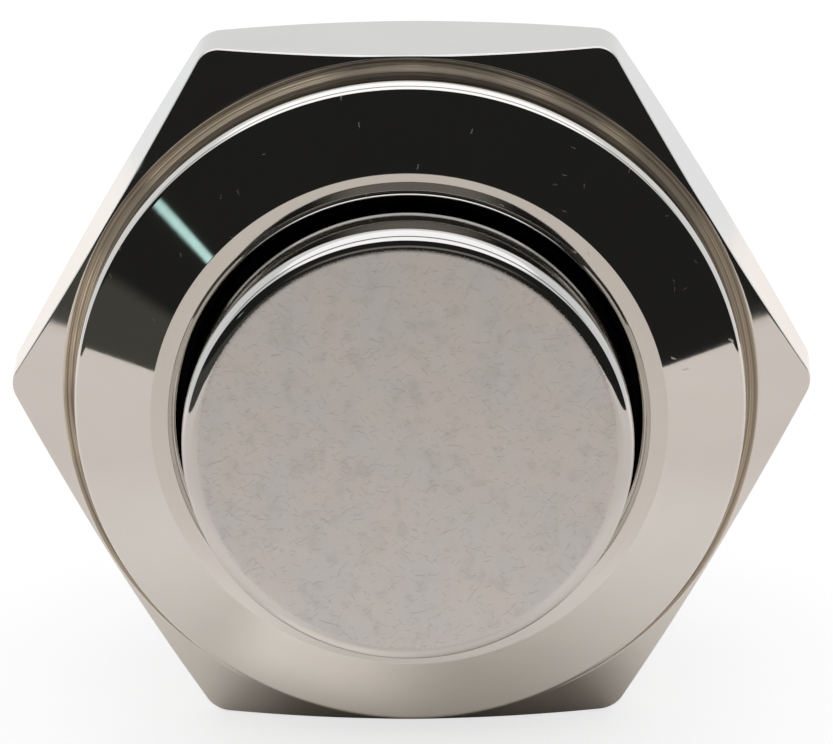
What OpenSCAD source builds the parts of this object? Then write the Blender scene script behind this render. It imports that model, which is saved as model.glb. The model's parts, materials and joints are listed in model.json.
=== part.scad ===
// Momentary push button for a metal panel. The bezel and the threaded barrel are one turned piece.
// A raised metal cap slides in the bezel, and works a sealed contact chamber behind it.
// The origin is the middle of the bezel's seat. The axis lies along Y, with the cap toward -Y.
// The modules draw along Z, with the operator at +Z, and axis_to_y() turns them into place.

/* [Bezel and barrel] */
// Outer diameter of the thread on the barrel
barrel_d = 16; // [15.8:0.1:16.2]
// Width of the bezel's seat round the barrel
seat_w = 1; // [0.9:0.05:1.2]
// Height of the bezel above its seat
bezel_h = 2; // [1.9:0.05:2.2]
// Height of the bezel's side wall
side_wall_h = 0.41; // [0.35:0.01:0.5]
// Rounding between the bezel's side wall and its cone
rim_r = 0.35; // [0.2:0.05:0.4]
// Width of the narrow ring on top of the bezel
ring_w = 0.45; // [0.35:0.05:0.55]
// How far the ring is crowned
crown = 0.04; // [0.02:0.01:0.06]
// Softened edge of that ring
ring_edge = 0.03; // [0.02:0.01:0.04]
// Depth of the chamfer from the ring into the bore
bore_chamfer = 0.3; // [0.2:0.05:0.4]
// Width of that chamfer
bore_chamfer_w = 0.23; // [0.15:0.01:0.3]
// Chamfer at the edge of the seat
seat_chamfer = 0.15; // [0.1:0.05:0.2]
// Length of the barrel behind the resin
lip_l = 0.2; // [0.1:0.05:0.4]
// Chamfer at the barrel's rear end
barrel_chamfer = 0.5; // [0.3:0.1:0.7]
// Wall of the barrel round its rear chamber
barrel_wall = 1.4; // [1.3:0.05:1.5]
// Depth of the cap chamber below the seat
cap_chamber_l = 3.1; // [3:0.1:3.3]
// Thickness of the web between the cap and the contacts
web_t = 1.3; // [1.2:0.05:1.4]

/* [Cap, stem and return spring] */
// Diameter of the cap
cap_d = 12; // [11.8:0.1:12.1]
// Gap between the cap and its bore
cap_gap = 0.22; // [0.2:0.01:0.25]
// Height of the cap's face above the bezel
cap_rise = 2.45; // [2.2:0.05:2.6]
// Radius of the cap's polished edge
cap_edge_r = 0.5; // [0.3:0.05:0.7]
// Thickness of the cap's face
cap_face_t = 1.25; // [1:0.05:1.4]
// Thickness of the cap's wall
cap_wall = 1; // [0.8:0.1:1.2]
// Depth of the cap's skirt behind the seat
skirt_l = 0.9; // [0.8:0.05:1]
// Depth of the seal groove in the cap
cap_groove_depth = 0.55; // [0.45:0.05:0.6]
// Width of that groove
cap_groove_w = 0.85; // [0.8:0.05:0.9]
// Length of the boss under the cap's face
boss_l = 2.6; // [2.2:0.1:2.8]
// Wall of that boss round the stem
boss_wall = 0.8; // [0.6:0.1:1]
// Length of the cap behind its seal groove
cap_land = 0.35; // [0.3:0.05:0.4]
// Chamfer of the cap's skirt
skirt_chamfer = 0.15; // [0.1:0.05:0.2]
// How far the stem sinks into the cap's face
stem_sink = 0.2; // [0.1:0.05:0.3]
// How far the cap travels
travel = 1.8; // [1.4:0.1:1.8]
// Diameter of the stem
stem_d = 3; // [2.8:0.1:3.2]
// Wall of the bush in the web
bush_wall = 1.05; // [0.9:0.05:1.2]
// Thickness of the bush's flange
bush_flange_t = 0.4; // [0.3:0.05:0.5]
// How far that flange stands out past the bush
bush_flange_w = 0.7; // [0.5:0.1:0.9]
// Thickness of the stem's clip
clip_t = 0.5; // [0.4:0.05:0.5]
// Width of the clip's arc and of its prongs
clip_arc_w = 0.8; // [0.7:0.05:0.9]
// Outer diameter of the clip
clip_d = 5.8; // [5.4:0.1:6]
// Depth of the clip's groove in the stem
clip_groove_depth = 0.35; // [0.25:0.05:0.4]
// Wire of the return spring
spring_wire = 0.6; // [0.5:0.05:0.6]
// Middle diameter of the return spring
spring_d = 7.4; // [7:0.1:7.8]
// Turns of the return spring
spring_turns = 6; // [5:0.5:6]

/* [Nut and gasket] */
// Wall of the nut at its flats, outside the thread
nut_wall = 1.4; // [1.3:0.05:1.5]
// Thickness of the nut
nut_t = 3.3; // [3:0.1:4]
// Distance from the flats to the circle where the nut's chamfers start
nut_face_inset = 0.05; // [0.05:0.05:0.3]
// Slope of those chamfers, in degrees
nut_chamfer_a = 30; // [20:1:30]
// Rounding of the nut's corners in plan
nut_corner_r = 0.7; // [0.3:0.1:1]
// Chamfer of the nut's bore
nut_bore_chamfer = 0.35; // [0.2:0.05:0.5]
// Thickness of the panel gasket
gasket_t = 0.5; // [0.3:0.05:0.6]
// How far the gasket lies inside the bezel's edge
gasket_inset = 0.2; // [0.1:0.05:0.4]

/* [Contacts and terminals] */
// Gap that the contacts close
contact_gap = 1; // [0.8:0.1:1]
// How far the contacts sit inward of the middle of a terminal's foot
contact_shift = 0.1; // [0:0.05:0.2]
// Diameter of a fixed contact
fixed_contact_d = 1.8; // [1.6:0.1:2]
// Diameter of a contact on the bridge
bridge_contact_d = 1.5; // [1.3:0.1:1.7]
// Diameter of the contacts' shanks
shank_d = 0.9; // [0.8:0.05:1]
// Thickness of the contacts
contact_t = 0.35; // [0.3:0.05:0.4]
// Thickness of the bridge
bridge_t = 0.35; // [0.3:0.05:0.4]
// Width of the bridge's arms
bridge_w = 2.2; // [1.8:0.1:2.4]
// Diameter of the bridge's middle
bridge_mid_d = 4; // [3.8:0.1:4.2]
// Diameter of the carrier's stud
stud_d = 2.2; // [2:0.1:2.3]
// How far the stud reaches past its washer
stud_end = 0.3; // [0.2:0.05:0.3]
// Diameter of the washer that keeps the bridge
retainer_d = 3.6; // [3.4:0.1:3.8]
// Thickness of that washer
retainer_t = 0.35; // [0.3:0.05:0.35]
// Diameter of the carrier's hub
carrier_d = 5; // [4.8:0.1:5.2]
// Length of the carrier's hub
carrier_l = 1.6; // [1.5:0.05:1.7]
// How far the carrier's flange stands out past the hub
carrier_flange_w = 0.3; // [0.2:0.05:0.4]
// Depth of the stem in the carrier
stem_seat = 1.2; // [1:0.05:1.3]
// Wire of the contact spring
contact_wire = 0.24; // [0.2:0.02:0.24]
// Middle diameter of the contact spring
contact_spring_d = 3; // [2.9:0.1:3.2]
// Length of the contact spring at rest
contact_spring_l = 2; // [1.95:0.05:2.1]
// Turns of the contact spring
contact_turns = 4.5; // [4:0.5:4.5]
// Thickness of the terminal strip
strip_t = 0.5; // [0.4:0.05:0.5]
// Width of the terminal strip
strip_w = 2.8; // [2.4:0.1:2.8]
// Bend of the strip, outside its thickness
strip_bend = 0.1; // [0.05:0.05:0.2]
// Gap between the terminals and the cup's wall
strip_gap = 0.4; // [0.3:0.05:0.5]
// Gap between the terminals' inner ends and the well
foot_gap = 0.1; // [0.05:0.05:0.2]
// Length of a terminal behind the base
tab_l = 5.5; // [5:0.1:7]
// Chamfer of a terminal's tip
tab_chamfer = 0.7; // [0.4:0.1:0.8]
// Diameter of the eye in a terminal
eye_d = 1.4; // [1.2:0.1:1.6]
// Distance of the eye from the terminal's tip
eye_l = 1.8; // [1.6:0.1:2]

/* [Base and its seals] */
// Wall of the base's cup inside the barrel
cup_wall = 1.6; // [1.5:0.05:1.65]
// Length of that cup
cup_l = 3.5; // [3.3:0.1:3.6]
// Gap round the base that the snap ring and the resin fill
base_gap = 0.7; // [0.6:0.05:0.75]
// Thickness of the base behind its platform
base_floor = 1.55; // [1.4:0.05:2]
// Chamfer round the rear of the base
base_chamfer = 0.3; // [0.2:0.05:0.5]
// Room under the stud when the cap is pressed
well_room = 0.25; // [0.15:0.05:0.3]
// Diameter of the well under the stud
well_d = 4.2; // [4:0.1:4.3]
// Height of the ribs that guide the bridge
rib_h = 3.2; // [2.4:0.1:3.4]
// Thickness of those ribs
rib_t = 0.6; // [0.5:0.1:0.8]
// How far the ribs run into the cup's wall
rib_root = 0.2; // [0.1:0.05:0.4]
// Wire of the seal round the base
base_seal_d = 0.75; // [0.7:0.05:0.8]
// Distance of that seal's groove behind the cup's front end
base_groove_l = 1.6; // [1.4:0.1:1.8]
// Width of that groove
base_groove_w = 0.8; // [0.75:0.05:0.85]
// Thickness of the snap ring
snap_t = 0.5; // [0.4:0.05:0.5]
// Depth of the snap ring's groove in the barrel
snap_groove_depth = 0.4; // [0.3:0.05:0.45]
// Thickness of the resin over the snap ring
resin_t = 0.6; // [0.4:0.05:0.7]

/* [Hidden] */
$fn = 96;
// Clearances, and the sink of a rivet's shank into its own head
nut_play = 0.05;
stem_play = 0.05;
seal_play = 0.03;
ring_play = 0.05;
bridge_play = 0.1;
eps = 0.02;
// The cap and the stem
cap_r = cap_d / 2;
cap_top = bezel_h + cap_rise;
cap_groove_r = cap_r - cap_groove_depth;
cap_ceiling_z = cap_top - cap_face_t;
skirt_z = -skirt_l;
cap_groove_z = skirt_z + cap_land;
stem_r = stem_d / 2;
clip_groove_r = stem_r - clip_groove_depth;
boss_z = cap_ceiling_z - boss_l;
stem_front_z = cap_ceiling_z + stem_sink;
// The bezel's profile: its cone is the tangent from the ring's edge to the rim's rounding
barrel_r = barrel_d / 2;
bezel_r = barrel_r + seat_w;
bore_r = cap_r + cap_gap;
cap_seal_r = (bore_r - seal_play - cap_groove_r) / 2;
ring_inner_r = bore_r + bore_chamfer_w;
ring_outer_r = ring_inner_r + ring_w;
ring_mid_r = (ring_inner_r + ring_outer_r) / 2;
ring_edge_z = bezel_h - crown;
rim_x = bezel_r - rim_r;
rim_far = norm([rim_x - ring_outer_r, ring_edge_z - side_wall_h]);
cone_a = atan2(ring_edge_z - side_wall_h, rim_x - ring_outer_r) - asin(rim_r / rim_far);
// The web and what holds the stem in it
web_front_z = -cap_chamber_l;
web_rear_z = web_front_z - web_t;
bush_in_r = stem_r + stem_play;
bush_r = bush_in_r + bush_wall;
clip_z = web_rear_z - bush_flange_t;
// The carrier and the bridge
carrier_z = clip_z - clip_t;
carrier_seat_z = carrier_z - carrier_l;
stem_rear_z = carrier_z - stem_seat;
stud_r = stud_d / 2;
bridge_z = carrier_seat_z - contact_spring_l;
bridge_rear_z = bridge_z - bridge_t;
stud_rear_z = bridge_rear_z - retainer_t - stud_end;
// The fixed contacts, the terminals and the base
fixed_z = bridge_rear_z - contact_t - contact_gap;
foot_z = fixed_z - contact_t;
platform_z = foot_z - strip_t;
well_z = stud_rear_z - travel - well_room;
base_rear_z = platform_z - base_floor;
tip_z = base_rear_z - tab_l;
chamber_r = barrel_r - barrel_wall;
cup_r = chamber_r - cup_wall;
shoulder_z = web_rear_z - cup_l;
base_r = chamber_r - base_gap;
snap_r = chamber_r + snap_groove_depth;
snap_rear_z = shoulder_z - snap_t;
resin_rear_z = snap_rear_z - resin_t;
barrel_rear_z = resin_rear_z - lip_l;
strip_x = cup_r - strip_gap;
foot_x = well_d / 2 + foot_gap;
contact_x = (foot_x + strip_x) / 2 - contact_shift;
// The nut
nut_af = barrel_d + 2 * nut_wall;
nut_face_r = nut_af / 2 - nut_face_inset;

// Points of an arc, from angle a0 to a1 in n steps
function arc(x, y, r, a0, a1, n = 6) =
    [for (i = [0:n]) let(a = a0 + (a1 - a0) * i / n) [x + r * cos(a), y + r * sin(a)]];

// Turns a piece drawn along Z so that its front faces -Y
module axis_to_y() {
    rotate([90, 0, 0]) children();
}

// A turned disc or tube between two levels
module ring(r_out, r_in, z_rear, z_front) {
    translate([0, 0, z_rear]) difference() {
        cylinder(r = r_out, h = z_front - z_rear);
        if (r_in > 0) translate([0, 0, -1]) cylinder(r = r_in, h = z_front - z_rear + 2);
    }
}

// Height of the coil's wire centre at a turn t: closed ends, with an open stretch between them
function coil_z(t, turns, dead, z0, z1, wire) =
    let(lift = z1 - z0 - wire - 2 * dead * wire)
    t < dead ? z0 + wire / 2 + t * wire
    : t > turns - dead ? z1 - wire / 2 - (turns - t) * wire
    : z0 + wire / 2 + dead * wire + lift * (t - dead) / (turns - 2 * dead);

// A compression spring as one swept tube, with a closed turn at each end
module coil(mean_r, wire, turns, dead, z0, z1, steps = 18, sides = 6) {
    n = turns * steps;
    pts = [
        for (i = [0:n], j = [0:sides - 1])
            let(t = i / steps, a = 360 * t, b = 360 * j / sides)
            let(r = mean_r + wire / 2 * cos(b))
            [r * cos(a), r * sin(a), coil_z(t, turns, dead, z0, z1, wire) + wire / 2 * sin(b)]
    ];
    skin = [
        for (i = [0:n - 1], j = [0:sides - 1])
            let(k = (j + 1) % sides)
            [i * sides + j, (i + 1) * sides + j, (i + 1) * sides + k, i * sides + k]
    ];
    ends = [
        [for (j = [0:sides - 1]) j],
        [for (j = [0:sides - 1]) n * sides + sides - 1 - j]
    ];
    polyhedron(points = pts, faces = concat(skin, ends), convexity = 10);
}

// The bezel, the barrel and the web between its two bores
module housing() {
    color("gainsboro") axis_to_y() rotate_extrude() polygon(concat(
        [
            [chamber_r, barrel_rear_z],
            [barrel_r - barrel_chamfer, barrel_rear_z],
            [barrel_r, barrel_rear_z + barrel_chamfer],
            [barrel_r, 0],
            [bezel_r - seat_chamfer, 0],
            [bezel_r, seat_chamfer]
        ],
        arc(rim_x, side_wall_h, rim_r, 0, 90 - cone_a),
        [
            [ring_outer_r + ring_edge, ring_edge_z - ring_edge * tan(cone_a)],
            [ring_outer_r - ring_edge, ring_edge_z + crown * 0.25],
            [ring_mid_r + ring_w * 0.2, bezel_h - crown * 0.1],
            [ring_mid_r, bezel_h],
            [ring_mid_r - ring_w * 0.2, bezel_h - crown * 0.1],
            [ring_inner_r, ring_edge_z],
            [bore_r + bore_chamfer_w * 0.2, ring_edge_z - bore_chamfer * 0.8],
            [bore_r, ring_edge_z - bore_chamfer],
            [bore_r, web_front_z],
            [bush_r, web_front_z],
            [bush_r, web_rear_z],
            [chamber_r, web_rear_z],
            [chamber_r, shoulder_z],
            [snap_r, shoulder_z],
            [snap_r, snap_rear_z],
            [chamber_r, snap_rear_z]
        ]
    ));
}

module panel_gasket() {
    color("dimgray") axis_to_y() ring(bezel_r - gasket_inset, barrel_r, -gasket_t, 0);
}

// The flanged bush in the web that guides the stem
module guide_bush() {
    flange_r = bush_r + bush_flange_w;
    color("darkgoldenrod") axis_to_y() rotate_extrude() polygon([
        [bush_in_r, web_front_z],
        [bush_r, web_front_z],
        [bush_r, web_rear_z],
        [flange_r, web_rear_z],
        [flange_r, clip_z],
        [bush_in_r, clip_z]
    ]);
}

// The moulded cup that holds the terminals and keeps the bridge straight
module contact_base() {
    groove_r = chamber_r - base_seal_d;
    groove_z = web_rear_z - base_groove_l;
    leg_x = strip_x - strip_t;
    color("dimgray") axis_to_y() difference() {
        union() {
            rotate_extrude() polygon([
                [0, base_rear_z],
                [base_r - base_chamfer, base_rear_z],
                [base_r, base_rear_z + base_chamfer],
                [base_r, shoulder_z],
                [chamber_r, shoulder_z],
                [chamber_r, groove_z - base_groove_w],
                [groove_r, groove_z - base_groove_w],
                [groove_r, groove_z],
                [chamber_r, groove_z],
                [chamber_r, web_rear_z],
                [cup_r, web_rear_z],
                [cup_r, platform_z],
                [well_d / 2, platform_z],
                [well_d / 2, well_z],
                [0, well_z]
            ]);
            for (sx = [-1, 1], sy = [-1, 1]) scale([sx, sy, 1])
                translate([contact_x, strip_w / 2, platform_z - eps])
                cube([cup_r + rib_root - contact_x, rib_t, rib_h + eps]);
        }
        for (s = [-1, 1]) translate([s * (leg_x + strip_t / 2), 0, base_rear_z - 1])
            translate([-strip_t / 2, -strip_w / 2, 0]) cube([strip_t, strip_w, base_floor + 1]);
    }
}

module base_seal() {
    seal_r = base_seal_d / 2;
    color("black") axis_to_y() rotate_extrude()
        translate([chamber_r - seal_r, web_rear_z - base_groove_l - base_groove_w / 2])
        circle(r = seal_r, $fn = 48);
}

// The internal snap ring that keeps the base in the barrel
module retaining_ring() {
    snap_inner_r = base_r + ring_play;
    color("silver") axis_to_y() translate([0, 0, snap_rear_z])
        rotate([0, 0, 100]) rotate_extrude(angle = 340)
        translate([snap_inner_r, 0]) square([snap_r - snap_inner_r, snap_t]);
}

// The resin over the snap ring that seals the base into the barrel
module sealing_resin() {
    color("darkslategray") axis_to_y()
        ring(chamber_r, base_r, resin_rear_z, snap_rear_z);
}

// A terminal on the side s: a foot under the fixed contact, a bend, and a leg with an eye
module terminal(s) {
    bend = strip_t + strip_bend;
    half_w = strip_w / 2;
    color("silver") axis_to_y() scale([s, 1, 1]) difference() {
        intersection() {
            rotate([90, 0, 0]) translate([0, 0, -half_w]) linear_extrude(strip_w)
                polygon(concat(
                    [
                        [foot_x, foot_z],
                        [foot_x, platform_z],
                        [strip_x - strip_t, platform_z],
                        [strip_x - strip_t, tip_z],
                        [strip_x, tip_z]
                    ],
                    arc(strip_x - bend, foot_z - bend, bend, 0, 90, 5)
                ));
            rotate([90, 0, 90]) linear_extrude(strip_x + 1) polygon([
                [-half_w, foot_z + 1],
                [-half_w, tip_z + tab_chamfer],
                [-half_w + tab_chamfer, tip_z],
                [half_w - tab_chamfer, tip_z],
                [half_w, tip_z + tab_chamfer],
                [half_w, foot_z + 1]
            ]);
        }
        translate([contact_x, 0, platform_z - 1])
            cylinder(d = shank_d, h = strip_t + 2, $fn = 48);
        translate([strip_x + 1, 0, tip_z + eye_l]) rotate([0, -90, 0])
            cylinder(d = eye_d, h = strip_t + 2, $fn = 48);
    }
}

module terminal_left() {
    terminal(-1);
}

module terminal_right() {
    terminal(1);
}

// A silver rivet closed into the foot of a terminal
module fixed_contact(s) {
    color("whitesmoke") axis_to_y() translate([s * contact_x, 0, 0]) union() {
        ring(fixed_contact_d / 2, 0, foot_z, fixed_z);
        ring(shank_d / 2, 0, platform_z, foot_z + eps);
    }
}

module fixed_contact_left() {
    fixed_contact(-1);
}

module fixed_contact_right() {
    fixed_contact(1);
}

// The spring between the web and the cap that brings the cap back
module return_spring() {
    color("silver") axis_to_y()
        coil(spring_d / 2, spring_wire, spring_turns, 1, web_front_z, cap_ceiling_z);
}

// The cap: a turned cup with a flat face, a rounded edge, a seal groove and a boss for the stem
module button_cap() {
    boss_r = stem_r + boss_wall;
    color("lightgray") axis_to_y() rotate_extrude() polygon(concat(
        [[0, cap_top]],
        arc(cap_r - cap_edge_r, cap_top - cap_edge_r, cap_edge_r, 90, 0),
        [
            [cap_r, cap_groove_z + cap_groove_w],
            [cap_groove_r, cap_groove_z + cap_groove_w],
            [cap_groove_r, cap_groove_z],
            [cap_r, cap_groove_z],
            [cap_r, skirt_z + skirt_chamfer],
            [cap_r - skirt_chamfer, skirt_z],
            [cap_r - cap_wall, skirt_z],
            [cap_r - cap_wall, cap_ceiling_z],
            [boss_r, cap_ceiling_z],
            [boss_r, boss_z],
            [stem_r, boss_z],
            [stem_r, stem_front_z],
            [0, stem_front_z]
        ]
    ));
}

module cap_seal() {
    color("black") axis_to_y() rotate_extrude()
        translate([cap_groove_r + cap_seal_r, cap_groove_z + cap_groove_w / 2])
        circle(r = cap_seal_r, $fn = 48);
}

// The stem, pressed into the cap in front and into the carrier behind, with a groove for its clip
module plunger_stem() {
    end_chamfer = 0.2;
    color("silver") axis_to_y() rotate_extrude() polygon([
        [0, stem_rear_z],
        [stem_r - end_chamfer, stem_rear_z],
        [stem_r, stem_rear_z + end_chamfer],
        [stem_r, carrier_z],
        [clip_groove_r, carrier_z],
        [clip_groove_r, clip_z],
        [stem_r, clip_z],
        [stem_r, stem_front_z - end_chamfer],
        [stem_r - end_chamfer, stem_front_z],
        [0, stem_front_z]
    ]);
}

// The open clip that stops the stem against the bush
module stem_clip() {
    clip_r = clip_d / 2;
    color("silver") axis_to_y() translate([0, 0, carrier_z]) difference() {
        union() {
            difference() {
                cylinder(r = clip_r, h = clip_t);
                translate([0, 0, -1]) cylinder(r = clip_r - clip_arc_w, h = clip_t + 2);
            }
            for (a = [90, 205, -25]) rotate([0, 0, a])
                translate([0, -clip_arc_w * 0.75, 0])
                cube([clip_r - clip_arc_w / 2, clip_arc_w * 1.5, clip_t]);
        }
        translate([0, 0, -1]) cylinder(r = clip_groove_r, h = clip_t + 2);
        translate([-clip_groove_r, -clip_r - 1, -1])
            cube([2 * clip_groove_r, clip_r + 1, clip_t + 2]);
    }
}

// The nylon carrier on the stem's end, with a flange for the contact spring and a stud
module contact_carrier() {
    hub_r = carrier_d / 2;
    flange_r = hub_r + carrier_flange_w;
    flange_t = 0.5;
    color("ivory") axis_to_y() rotate_extrude() polygon([
        [stem_r, carrier_z],
        [hub_r, carrier_z],
        [hub_r, carrier_seat_z + flange_t],
        [flange_r, carrier_seat_z + flange_t],
        [flange_r, carrier_seat_z],
        [stud_r, carrier_seat_z],
        [stud_r, stud_rear_z + 0.15],
        [stud_r - 0.15, stud_rear_z],
        [0, stud_rear_z],
        [0, stem_rear_z],
        [stem_r, stem_rear_z]
    ]);
}

// The push-on washer that keeps the bridge on the stud
module bridge_retainer() {
    color("silver") axis_to_y()
        ring(retainer_d / 2, stud_r, bridge_rear_z - retainer_t, bridge_rear_z);
}

module contact_spring() {
    color("silver") axis_to_y()
        coil(contact_spring_d / 2, contact_wire, contact_turns, 1, bridge_z, carrier_seat_z);
}

// The copper strip that closes the circuit between the two fixed contacts
module contact_bridge() {
    half_w = bridge_w / 2;
    end_x = contact_x + bridge_contact_d / 2 + 0.15 - half_w;
    color("peru") axis_to_y() translate([0, 0, bridge_rear_z]) difference() {
        union() {
            translate([-end_x, -half_w, 0]) cube([2 * end_x, bridge_w, bridge_t]);
            cylinder(d = bridge_mid_d, h = bridge_t);
            for (s = [-1, 1]) translate([s * end_x, 0, 0]) cylinder(r = half_w, h = bridge_t);
        }
        translate([0, 0, -1]) cylinder(r = stud_r + bridge_play, h = bridge_t + 2);
        for (s = [-1, 1]) translate([s * contact_x, 0, -1])
            cylinder(d = shank_d, h = bridge_t + 2, $fn = 48);
    }
}

// A silver rivet on one end of the bridge
module bridge_contact(s) {
    color("whitesmoke") axis_to_y() translate([s * contact_x, 0, 0]) union() {
        ring(bridge_contact_d / 2, 0, bridge_rear_z - contact_t, bridge_rear_z);
        ring(shank_d / 2, 0, bridge_rear_z - eps, bridge_z + eps);
        ring(shank_d / 2 + 0.2, 0, bridge_z, bridge_z + 0.15);
    }
}

module bridge_contact_left() {
    bridge_contact(-1);
}

module bridge_contact_right() {
    bridge_contact(1);
}

// The hexagon nut: rounded corners, a chamfer on both faces and a chamfered bore
module hex_nut() {
    front = -gasket_t;
    rear = front - nut_t;
    far_r = nut_af / 2 / cos(30) * 1.05;
    drop = (far_r - nut_face_r) * tan(nut_chamfer_a);
    centre_r = (nut_af / 2 - nut_corner_r) / cos(30);
    nut_r = barrel_r + nut_play;
    mouth_r = nut_r + nut_bore_chamfer;
    outline = [
        for (k = [0:5], i = [0:6])
            let(c = 60 * k, a = c - 30 + 10 * i)
            [centre_r * cos(c) + nut_corner_r * cos(a), centre_r * sin(c) + nut_corner_r * sin(a)]
    ];
    color("gainsboro") axis_to_y() intersection() {
        translate([0, 0, rear]) linear_extrude(nut_t) polygon(outline);
        rotate_extrude() polygon([
            [mouth_r, rear],
            [nut_face_r, rear],
            [far_r, rear + drop],
            [far_r, front - drop],
            [nut_face_r, front],
            [mouth_r, front],
            [nut_r, front - nut_bore_chamfer],
            [nut_r, rear + nut_bore_chamfer]
        ]);
    }
}

housing();
panel_gasket();
guide_bush();
contact_base();
base_seal();
retaining_ring();
sealing_resin();
terminal_left();
terminal_right();
fixed_contact_left();
fixed_contact_right();
return_spring();
button_cap();
cap_seal();
plunger_stem();
stem_clip();
contact_carrier();
bridge_retainer();
contact_spring();
contact_bridge();
bridge_contact_left();
bridge_contact_right();
hex_nut();
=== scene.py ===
import json
import math

import bmesh
import bpy
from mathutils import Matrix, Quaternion, Vector

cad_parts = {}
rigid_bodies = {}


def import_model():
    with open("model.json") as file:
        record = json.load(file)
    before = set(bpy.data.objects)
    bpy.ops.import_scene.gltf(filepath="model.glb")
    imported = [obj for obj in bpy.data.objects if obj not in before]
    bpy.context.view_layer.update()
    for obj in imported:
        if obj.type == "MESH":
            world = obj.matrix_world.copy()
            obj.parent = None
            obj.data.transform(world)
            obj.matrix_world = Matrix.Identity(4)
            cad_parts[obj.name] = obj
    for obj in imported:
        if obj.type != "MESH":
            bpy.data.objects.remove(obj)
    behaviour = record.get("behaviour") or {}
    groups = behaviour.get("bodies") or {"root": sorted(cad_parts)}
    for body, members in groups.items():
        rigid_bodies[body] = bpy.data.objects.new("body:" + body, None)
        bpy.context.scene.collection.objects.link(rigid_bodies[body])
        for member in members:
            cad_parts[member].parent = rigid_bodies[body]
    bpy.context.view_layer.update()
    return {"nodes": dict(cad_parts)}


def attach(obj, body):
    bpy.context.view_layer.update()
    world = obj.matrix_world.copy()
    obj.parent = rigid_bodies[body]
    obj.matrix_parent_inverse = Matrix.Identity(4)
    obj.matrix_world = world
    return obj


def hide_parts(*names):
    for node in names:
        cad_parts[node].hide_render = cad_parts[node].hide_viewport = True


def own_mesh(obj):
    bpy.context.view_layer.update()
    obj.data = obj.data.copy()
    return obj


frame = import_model()
nodes = frame["nodes"]
MM = 0.001

# The studio. The button lies on one flat of its nut, on a pale sheet with a dark room in front
# and a white backdrop behind. The camera looks down on the cap a little.

for old in list(bpy.data.objects):
    if old.type in ("LIGHT", "CAMERA"):
        bpy.data.objects.remove(old)
scene = bpy.context.scene
scene.view_settings.view_transform = "Standard"

CAMERA_AZIMUTH, CAMERA_ELEVATION = math.radians(1.16), math.radians(18.6)
CAMERA_ROLL = math.radians(-0.66)
CAMERA_DISTANCE = 300 * MM
RIM_CENTRE = Vector((0, -0.5, 0)) * MM
AIM_RIGHT, AIM_UP = 0.1835 * MM, 0.8226 * MM
PIXELS_PER_MM, PHOTO_WIDTH, SENSOR_WIDTH, NEAREST, FARTHEST = 37.35, 833, 36, 0.01, 20

back = Vector((
    math.sin(CAMERA_AZIMUTH) * math.cos(CAMERA_ELEVATION),
    -math.cos(CAMERA_AZIMUTH) * math.cos(CAMERA_ELEVATION),
    math.sin(CAMERA_ELEVATION),
))
right = Vector((math.cos(CAMERA_AZIMUTH), math.sin(CAMERA_AZIMUTH), 0))
camera = bpy.data.objects.new("camera", bpy.data.cameras.new("camera"))
scene.collection.objects.link(camera)
camera.location = RIM_CENTRE + back * CAMERA_DISTANCE
aim = RIM_CENTRE + right * AIM_RIGHT + back.cross(right) * AIM_UP
level = (aim - camera.location).to_track_quat("-Z", "Y")
camera.rotation_euler = (level @ Quaternion((0, 0, 1), CAMERA_ROLL)).to_euler()
camera.data.sensor_width = SENSOR_WIDTH
camera.data.lens = PIXELS_PER_MM * CAMERA_DISTANCE / MM / PHOTO_WIDTH * SENSOR_WIDTH
camera.data.clip_start, camera.data.clip_end = NEAREST, FARTHEST
scene.camera = camera


def new_nodes(tree, *kinds):
    """Adds the nodes of these kinds to a tree and returns them."""
    return [tree.nodes.new(kind) for kind in kinds]


def feed(tree, socket, value):
    """Links a socket to an input, or sets the input to a number or a colour."""
    if hasattr(value, "is_output"):
        tree.links.new(value, socket)
    elif isinstance(value, (tuple, list)) and len(value) == 3 and socket.type == "RGBA":
        socket.default_value = (*value, 1)
    else:
        socket.default_value = value


def number(tree, operation, a, b=0.0, clamp=False):
    """A Math node on two values, each a number or a socket. Returns its output."""
    node = tree.nodes.new("ShaderNodeMath")
    node.operation, node.use_clamp = operation, clamp
    feed(tree, node.inputs[0], a)
    feed(tree, node.inputs[1], b)
    return node.outputs[0]


def product(tree, first, *others):
    """Multiplies two or more values, each a number or a socket."""
    for other in others:
        first = number(tree, "MULTIPLY", first, other)
    return first


def ramp(tree, value, limits, unit=1):
    """A smooth step from 0 at the first limit to 1 at the second."""
    node = tree.nodes.new("ShaderNodeMapRange")
    node.interpolation_type = "SMOOTHSTEP"
    node.inputs["From Min"].default_value = limits[0] * unit
    node.inputs["From Max"].default_value = limits[1] * unit
    feed(tree, node.inputs["Value"], value)
    return node.outputs["Result"]


def blended(tree, factor, a, b):
    """Mixes two colours, each a colour or a socket, by a number or a socket."""
    node = tree.nodes.new("ShaderNodeMix")
    node.data_type = "RGBA"
    feed(tree, node.inputs[0], factor)
    feed(tree, node.inputs[6], a)
    feed(tree, node.inputs[7], b)
    return node.outputs[2]


def vector(tree, operation, a, b=None, scale=None):
    """A Vector Math node on sockets or vectors. Returns its node."""
    node = tree.nodes.new("ShaderNodeVectorMath")
    node.operation = operation
    feed(tree, node.inputs[0], a)
    if b is not None:
        feed(tree, node.inputs[1], b)
    if scale is not None:
        feed(tree, node.inputs["Scale"], scale)
    return node


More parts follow.
